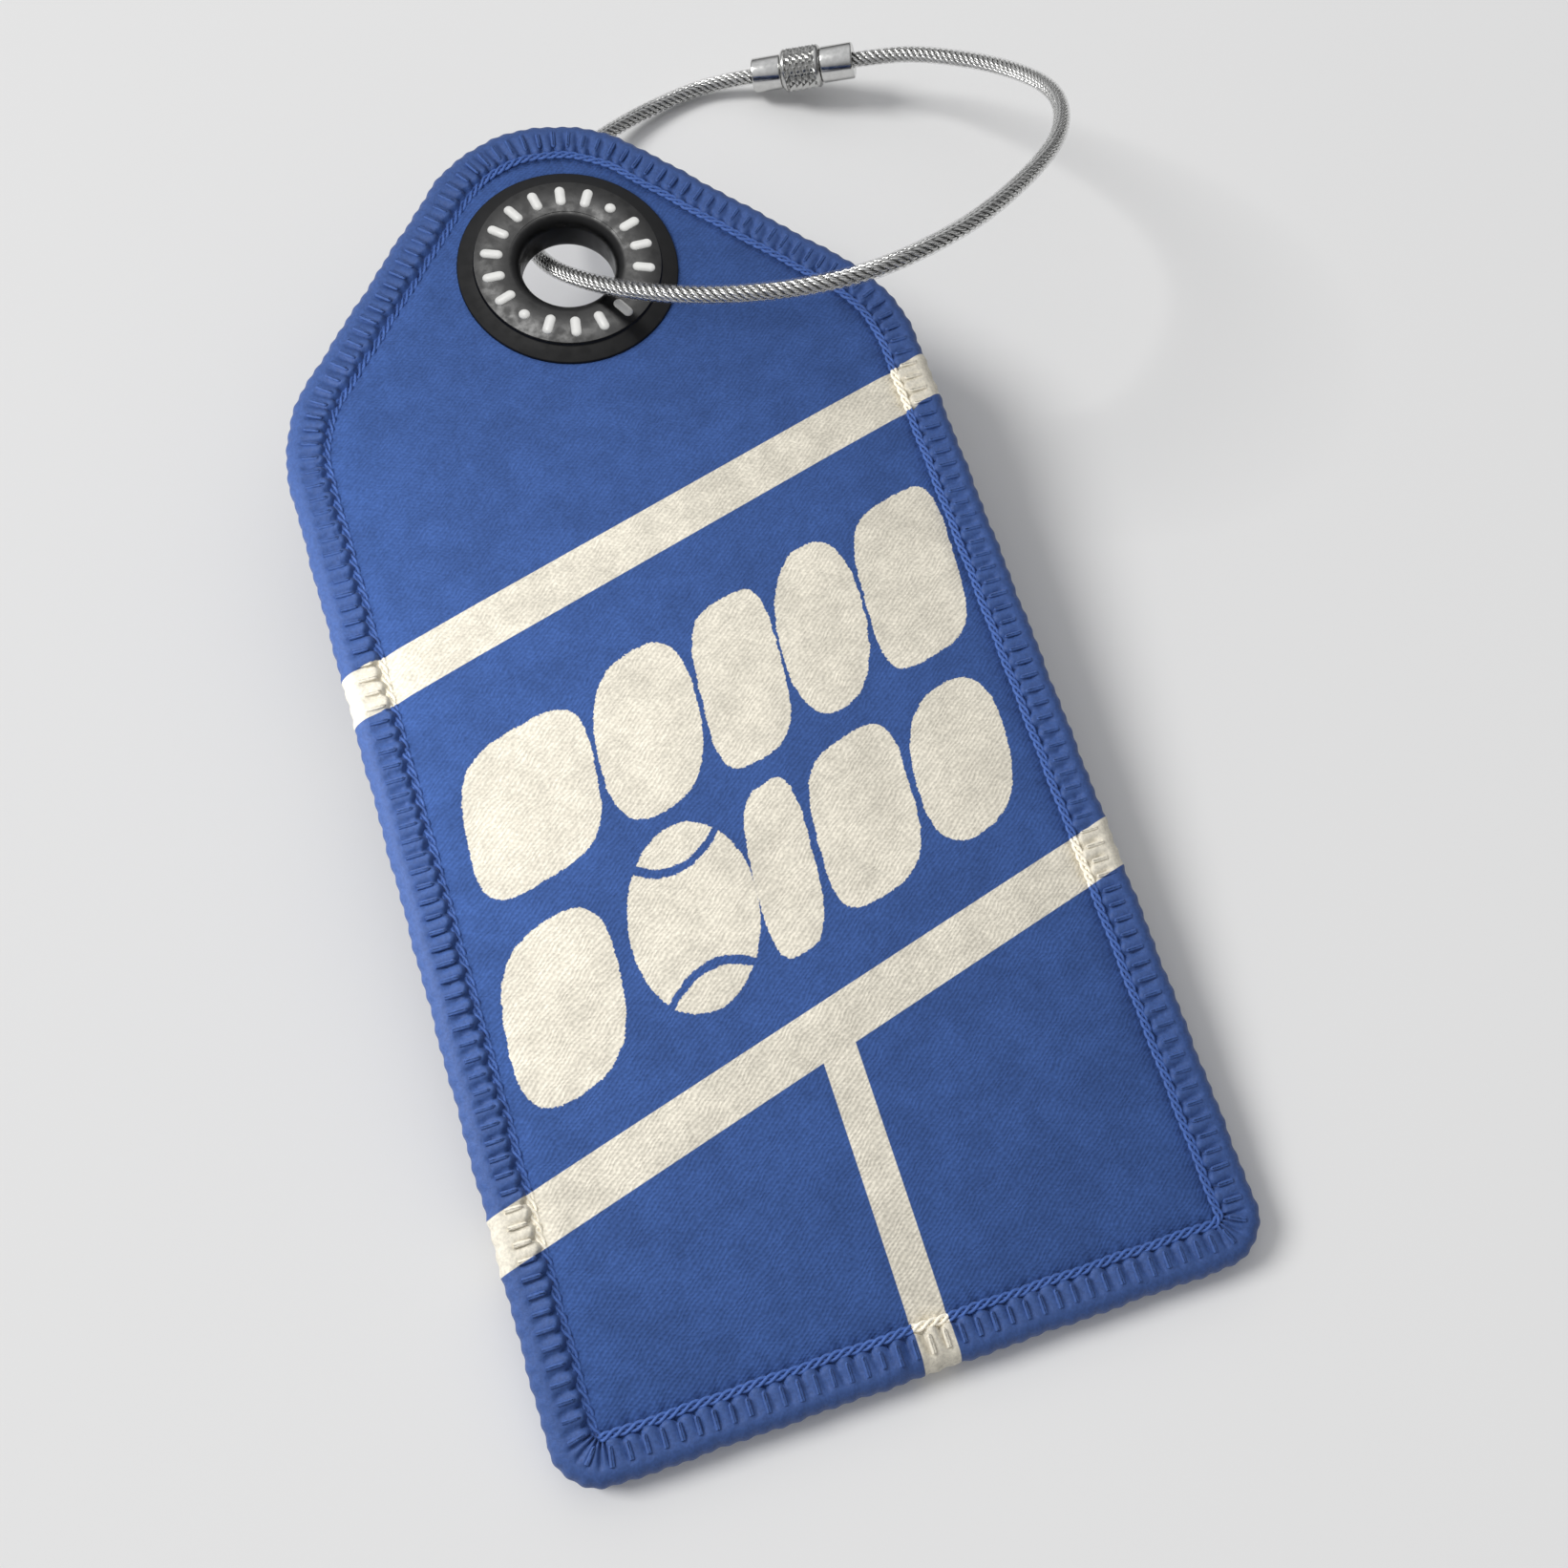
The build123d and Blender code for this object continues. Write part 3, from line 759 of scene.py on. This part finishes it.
def coverSheet(name, side, material):
    # a stretched sheet with a low crown, drawn down along the stitches
    face = "front" if side > 0 else "back"
    crown, pitch = cover[face + "Crown"], cover[face + "Grid"]
    rings = []
    for inset, spacing in [(cover["hem"], cover[face + "Spacing"])] + cover[face + "Rings"]:
        points, outs, walked, _ = outlineWalk(spacing)
        rings.append(points - outs * inset)
    boundary, holeCount, hole = len(rings[0]), cover["holeCount"], tag["barrelRadius"]
    turns = np.linspace(0, 2 * np.pi, holeCount, endpoint=False)
    holeRing = np.column_stack((np.cos(turns) * hole, tag["eyeletHeight"] + np.sin(turns) * hole))
    gx, gy = np.meshgrid(np.arange(-31, 31, pitch), np.arange(3, 138, pitch))
    inner = np.column_stack((gx.ravel(), gy.ravel()))
    inner[:, 0] += (np.round(inner[:, 1] / pitch) % 2) * pitch / 2
    inner = inner[(insetOf(inner) > cover["gridInset"]) & (fromEyelet(inner) > hole + 0.5)]
    everyPoint = np.concatenate([rings[0], holeRing] + rings[1:] + [inner])
    edges = [(i, (i + 1) % boundary) for i in range(boundary)]
    edges += [(boundary + i, boundary + (i + 1) % holeCount) for i in range(holeCount)]
    made = delaunay_2d_cdt([Vector(p) for p in everyPoint], edges, [], 1, 1e-5)
    places = np.array([tuple(p) for p in made[0]])
    faces = [tuple(f) for f in made[2] if fromEyelet(places[f].mean(axis=0)[None])[0] > hole - 0.02]
    depth = insetOf(places)
    swell = smoothStep(depth, 4.2, 16.0)
    z = tag["clothTop"] + crown * swell - cover["hemDrop"] * (1 - smoothStep(depth, 4.2, 6.2))
    z -= crown * (1 - smoothStep(fromEyelet(places), 11.0, 19.0)) * swell
    if side > 0:
        # the needle holes pull the cloth down, and it puckers between them
        number, part = stitchPhase(walkedOf(places), tag["borderWidth"])
        z -= cover["needlePull"] * bell(part, 0.5, 0.16) * bell(depth, cover["needleAt"], 0.2)
        z += cover["pucker"] * np.sin(2 * np.pi * part) * bell(depth, 5.2, 0.7)
    obj = meshPiece(name, toFrame(np.column_stack((places, side * z))), faces, 180)
    if obj.data.polygons[len(faces) // 2].normal.dot(tagOut) * side < 0:
        obj.data.flip_normals()
    thick = obj.modifiers.new("thickness", "SOLIDIFY")
    thick.thickness = cover["thickness"]
    thick.offset = -1
    obj = plainMesh(obj, name)
    obj.data.shade_smooth()
    paint(obj, material)
    return obj


def bell(value, middle, width):
    return np.exp(-((value - middle) / width) ** 2)


def fromEyelet(places):
    return np.hypot(places[:, 0], places[:, 1] - tag["eyeletHeight"])


def nearestWalk(places):
    # index of the nearest outline point for each place
    points = coarseWalk[0]
    nearest = np.empty(len(places), int)
    for start in range(0, len(places), 2000):
        part = places[start:start + 2000]
        away = ((part[:, None, :] - points[None]) ** 2).sum(axis=2)
        nearest[start:start + 2000] = away.argmin(axis=1)
    return nearest


def insetOf(places):
    # distance inside the outline
    nearest = nearestWalk(places)
    return -((places - coarseWalk[0][nearest]) * coarseWalk[1][nearest]).sum(axis=1)


def walkedOf(places):
    nearest = nearestWalk(places)
    along = np.column_stack((-coarseWalk[1][nearest][:, 1], coarseWalk[1][nearest][:, 0]))
    slip = ((places - coarseWalk[0][nearest]) * along).sum(axis=1)
    return coarseWalk[2][nearest] + slip


frontSheet = coverSheet("front_cloth", 1, frontCloth)
backSheet = coverSheet("back_cloth", -1, backCloth)
print("cloth made:", len(frontSheet.data.polygons), "front faces")

pitchAround = float(around) / stitch["count"] * mm
loopSpec = {"Stitches": stitch["count"], "Spread": pitchAround * 0.07, "Reach": -1.45 * mm,
            "Thread radius": 0.20 * mm, "Outward": tagOut, "Seed": 3, "Finish": loopThread}
chainSpec = {"Threads": 3, "Swing": 0.30 * mm, "Turns": stitch["count"] / 2, "Flatness": 0.35,
             "Thread radius": 0.17 * mm, "Step": 0.22 * mm, "Outward": tagOut, "Finish": chainThread}


def loopTree(spec):
    # one narrow thread loop for each stitch, its legs running out to the rolled edge
    tree, inputs, end = geometryTree("threadLoops", spec)
    line = evenCurve(tree, inputs, "Count", inputs["Stitches"])
    halfSpread = times(tree, inputs["Spread"], 0.5)
    tipReach = times(tree, inputs["Reach"], -0.55)
    # the loop lies in its own x and y: x along the edge, y towards the edge
    corners = {"Start": (-1.0, inputs["Reach"]), "Start Handle": (-1.15, tipReach),
               "End Handle": (1.15, tipReach), "End": (1.0, inputs["Reach"])}
    shape = {"Resolution": 12}
    for label, (share, y) in corners.items():
        shape[label] = vectorOf(tree, times(tree, halfSpread, share), y)
    loop = geo(tree, "CurvePrimitiveBezierSegment", shape)
    thread = tubeAlong(tree, loop, inputs["Thread radius"], 6)
    turn = turnTo(tree, geo(tree, "InputTangent"), "X", "Z", turnTo(tree, inputs["Outward"], "Z"))
    limits = {"Min": (0.85, 0.86, 1.0), "Max": (1.12, 1.10, 1.0), "Seed": inputs["Seed"]}
    size = addNode(tree, "FunctionNodeRandomValue", limits, data_type="FLOAT_VECTOR").outputs[0]
    many = {"Points": line, "Instance": thread, "Rotation": turn, "Scale": size}
    return finishTree(tree, geo(tree, "InstanceOnPoints", many), inputs, end)


def chainTree(spec):
    # thin threads wound round the inner edge of the stitching
    tree, inputs, end = geometryTree("chain", spec)
    line = evenCurve(tree, inputs, "Length", inputs["Step"])
    wanted = {"Geometry": line, "Amount": inputs["Threads"]}
    copies, index = addNode(tree, "GeometryNodeDuplicateElements", wanted, domain="SPLINE").outputs
    along = times(tree, geo(tree, "SplineParameter"), inputs["Turns"])
    angle = times(tree, plus(tree, over(tree, index, inputs["Threads"]), along), 2 * math.pi)
    side = vectorCalc(tree, "CROSS_PRODUCT", geo(tree, "InputTangent"), inputs["Outward"])
    rise = times(tree, calc(tree, "SINE", angle), inputs["Flatness"])
    offset = vectorCalc(tree, "ADD", vectorCalc(tree, "SCALE", side, calc(tree, "COSINE", angle)),
                        vectorCalc(tree, "SCALE", inputs["Outward"], rise))
    offset = vectorCalc(tree, "SCALE", offset, inputs["Swing"])
    threads = geo(tree, "SetPosition", {"Geometry": copies, "Offset": offset})
    return finishTree(tree, tubeAlong(tree, threads, inputs["Thread radius"], 6, caps=False), inputs, end)


def insetLine(name, inset, height, wobble=0.0, sink=0.0):
    # a line inside the outline, sunk a little along the left side if asked
    points, outs, walked, _ = outlineWalk(stitch["threadSpacing"])
    drift = inset + wobble * np.sin(walked * 0.9)
    flat = points - outs * drift[:, None]
    lift = height + overlapBump(points[:, 0], points[:, 1]) * stitch["overlapRise"]
    lift = lift - sink * smoothStep(-outs[:, 0], 0.2, 0.7)
    return lineObject(name, toFrame(np.column_stack((flat, lift))), closed=True)


loops = grow(insetLine("loopLine", 3.15, 1.95), "edge_thread_loops", loopTree, loopSpec)
chainLine = insetLine("chainLine", 4.28, 1.58, wobble=0.05, sink=0.5)
chain = grow(chainLine, "edge_thread_chain", chainTree, chainSpec)
print("threads made:", len(loops.data.polygons), len(chain.data.polygons))

eyeletPlace = Vector(toFrame([(0, tag["eyeletHeight"], 0)])[0])
frontProfile = (arc(8.325, -13.6, 16.36, 96.6, 83.4, 10)[::-1]
                + arc(6.45, 1.3, 1.3, 90, 180, 8) + arc(6.35, -1.2, 1.2, 180, 270, 6)
                + [(6.9, -2.4), (6.9, 1.38), (12.1, 1.38)] + arc(11.95, 1.62, 0.15, 0, 80, 3)
                + [(10.35, 2.22), (10.28, 2.3)] + arc(10.13, 2.4, 0.13, 10, 80, 3))
backProfile = [(6.92, -1.4), (6.92, -2.3), (7.05, -2.4), (10.75, -2.4), (10.95, -2.36), (12.02, -1.8),
               (12.1, -1.7), (12.1, -1.4)]
eyeletFront = lathe("eyelet_ring", frontProfile, eyeletPlace, tagOut, 128, eyeletBlack, 32)
eyeletBack = lathe("eyelet_back_ring", backProfile, eyeletPlace, tagOut, 96, eyeletBlack, 32)

marksHeight = 2.72
marksSpec = {"Count": 18, "Ring radius": 8.3 * mm, "Bar length": 2.5 * mm, "Bar width": 1.15 * mm,
             "Bar height": 0.24 * mm, "First dot": 2, "Finish": markWhite}


def marksTree(spec):
    # rounded bars set round a ring, with a dot at two opposite places
    tree, inputs, end = geometryTree("marks", spec)
    ring = geo(tree, "CurvePrimitiveCircle", {"Resolution": inputs["Count"], "Radius": inputs["Ring radius"]})
    halfRun = times(tree, minus(tree, inputs["Bar length"], inputs["Bar width"]), 0.5)
    lowered = over(tree, times(tree, inputs["Bar height"], 2.0), inputs["Bar width"])
    flat = vectorOf(tree, 1.0, 1.0, lowered)

    def dome(share, segments):
        return geo(tree, "MeshUVSphere", {"Segments": segments, "Rings": segments // 2,
                                          "Radius": times(tree, inputs["Bar width"], share)})

    joined = addNode(tree, "GeometryNodeJoinGeometry")
    for side in (-1.0, 1.0):
        moved = {"Geometry": dome(0.5, 16), "Translation": vectorOf(tree, times(tree, halfRun, side))}
        tree.links.new(geo(tree, "Transform", moved), joined.inputs[0])
    hull = geo(tree, "ConvexHull", {"Geometry": joined.outputs[0]})
    turn = turnTo(tree, geo(tree, "InputTangent"), "Y", "Z")
    place = calc(tree, "MODULO", geo(tree, "InputIndex"), times(tree, inputs["Count"], 0.5))
    isDot = calc(tree, "COMPARE", place, inputs["First dot"], 0.5)
    together = addNode(tree, "GeometryNodeJoinGeometry")
    for shape, chosen in ((hull, minus(tree, 1.0, isDot)), (dome(0.55, 20), isDot)):
        shape = geo(tree, "Transform", {"Geometry": shape, "Scale": flat})
        many = {"Points": ring, "Selection": chosen, "Instance": shape, "Rotation": turn}
        tree.links.new(geo(tree, "InstanceOnPoints", many), together.inputs[0])
    return finishTree(tree, together.outputs[0], inputs, end)


eyeletMarks = grow(lineObject("markSeed", [(0, 0, 0)]), "eyelet_marks", marksTree, marksSpec)
marksPlace = Matrix.Translation(toFrame([(0, tag["eyeletHeight"], marksHeight)])[0])
eyeletMarks.data.transform(marksPlace @ tagOut.to_track_quat("Z", "Y").to_matrix().to_4x4())
print("eyelet made")

# each piece, the body it rides with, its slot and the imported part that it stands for
for piece, body, slotName, standsFor in (
        (frontSheet, "tag", "printed_fabric", "front_cover"),
        (backSheet, "tag", "back_fabric", "back_cover"),
        (border, "tag", "edge_thread", "edge_stitching"),
        (loops, "tag", "edge_thread", None),
        (chain, "tag", "edge_thread", None),
        (eyeletFront, "tag", "eyelet_plastic", "eyelet_front"),
        (eyeletBack, "tag", "eyelet_plastic", "eyelet_back"),
        (eyeletMarks, "tag", "eyelet_plastic", None),
        (coating, "loop", "clear_coating", "cable_coating"),
        (rope, "loop", "rope_steel", "wire_rope"),
        (sleeve, "loop", "clasp_steel", "stud_sleeve"),
        (collar, "collar", "clasp_steel", "clasp_collar"),
        (nutBody, "nut", "nut_steel", "clasp_nut"),
        (knurlPoints, "nut", "nut_steel", None)):
    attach(piece, body)
    if standsFor:
        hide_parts(standsFor)
paint(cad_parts["core_board"], coreFelt)
paint(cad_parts["stop_ferrule"], claspSteel)


floorSpec = {"size": 4.0, "height": -0.1 * mm,
             "darker": (0.79, 0.79, 0.79, 1), "lighter": (0.81, 0.81, 0.81, 1)}


def makeFloor():
    half, height = floorSpec["size"] / 2, floorSpec["height"]
    corners = [(x * half, y * half, height) for x, y in ((-1, -1), (1, -1), (1, 1), (-1, 1))]
    floor = meshPiece("floor", corners, [(0, 1, 2, 3)])
    material, tree, shader = newMaterial("floorPaint")
    cloud = noise(tree, objectPlace(tree), 6.0, 2.0)["Fac"]
    fill(tree, shader, {"Base Color": mixColor(tree, cloud, floorSpec["darker"], floorSpec["lighter"]),
                        "Roughness": 0.9, "Specular IOR Level": 0.1})
    paint(floor, material)
    return floor


lights = [
    # name, place, aim, size across and along, power, group that it lights
    ("keyLight", (-1.83, 0.77, 1.83), (0.0, 0.0, 0.0), (1.1, 1.1), 49.0, "surroundings"),
    ("tagKeyLight", (-1.83, 0.77, 1.83), (0.0, 0.0, 0.0), (0.85, 0.85), 11.0, "tag"),
    ("tagStripLight", (-0.082, 0.0, 0.078), (0.0, 0.0, 0.010), (0.04, 0.17), 0.12, "tag"),
    ("eyeletLight", (0.0, 0.215, 0.49), (0.0, 0.050, 0.018), (0.12, 0.12), 1.2, "eyelet"),
]
lightColor = (1.0, 0.995, 0.98)
# the sky is brighter high up and towards the key light, and dark low down
sky = {"low": 0.06, "high": 0.56, "away": 0.32, "towards": 1.4, "color": (0.98, 0.985, 1.0, 1),
       "top": 0.75, "keyDirection": (-0.66, 0.59, 0.46)}


def makeLights():
    # the tag's face and the eyelet have lights of their own, so that each can be as bright as it should be
    groups = {"tag": (frontSheet, border, loops, chain),
              "eyelet": (eyeletFront, eyeletMarks),
              "surroundings": (floor, coating, rope, sleeve, collar, nutBody, knurlPoints, backSheet,
                               eyeletBack)}
    receivers = {label: bpy.data.collections.new(label) for label in groups}
    for label, pieces in groups.items():
        for piece in pieces:
            receivers[label].objects.link(piece)
    for name, place, aim, size, power, lit in lights:
        data = bpy.data.lights.new(name, "AREA")
        data.shape = "ELLIPSE"
        data.size, data.size_y = size
        data.energy = power
        data.color = lightColor
        light = linked(name, data)
        light.location = place
        light.rotation_euler = (Vector(aim) - Vector(place)).to_track_quat("-Z", "Y").to_euler()
        light.visible_camera = False
        light.light_linking.receiver_collection = receivers[lit]


def makeSky():
    world = bpy.data.worlds.new("studio")
    world.use_nodes = True
    tree = world.node_tree
    direction = addNode(tree, "ShaderNodeTexCoord").outputs["Generated"]
    upward = addNode(tree, "ShaderNodeSeparateXYZ", {0: direction}).outputs[2]
    facing = vectorCalc(tree, "DOT_PRODUCT", direction, sky["keyDirection"])
    glow = times(tree, ramp(tree, upward, 0.0, sky["top"], sky["low"], sky["high"]),
                 ramp(tree, facing, -0.8, 0.9, sky["away"], sky["towards"]))
    fill(tree, tree.nodes["Background"], {"Color": sky["color"], "Strength": glow})
    bpy.context.scene.world = world
    bpy.context.scene.view_settings.view_transform = "Standard"


floor = makeFloor()
makeLights()
makeSky()
print("stage made")
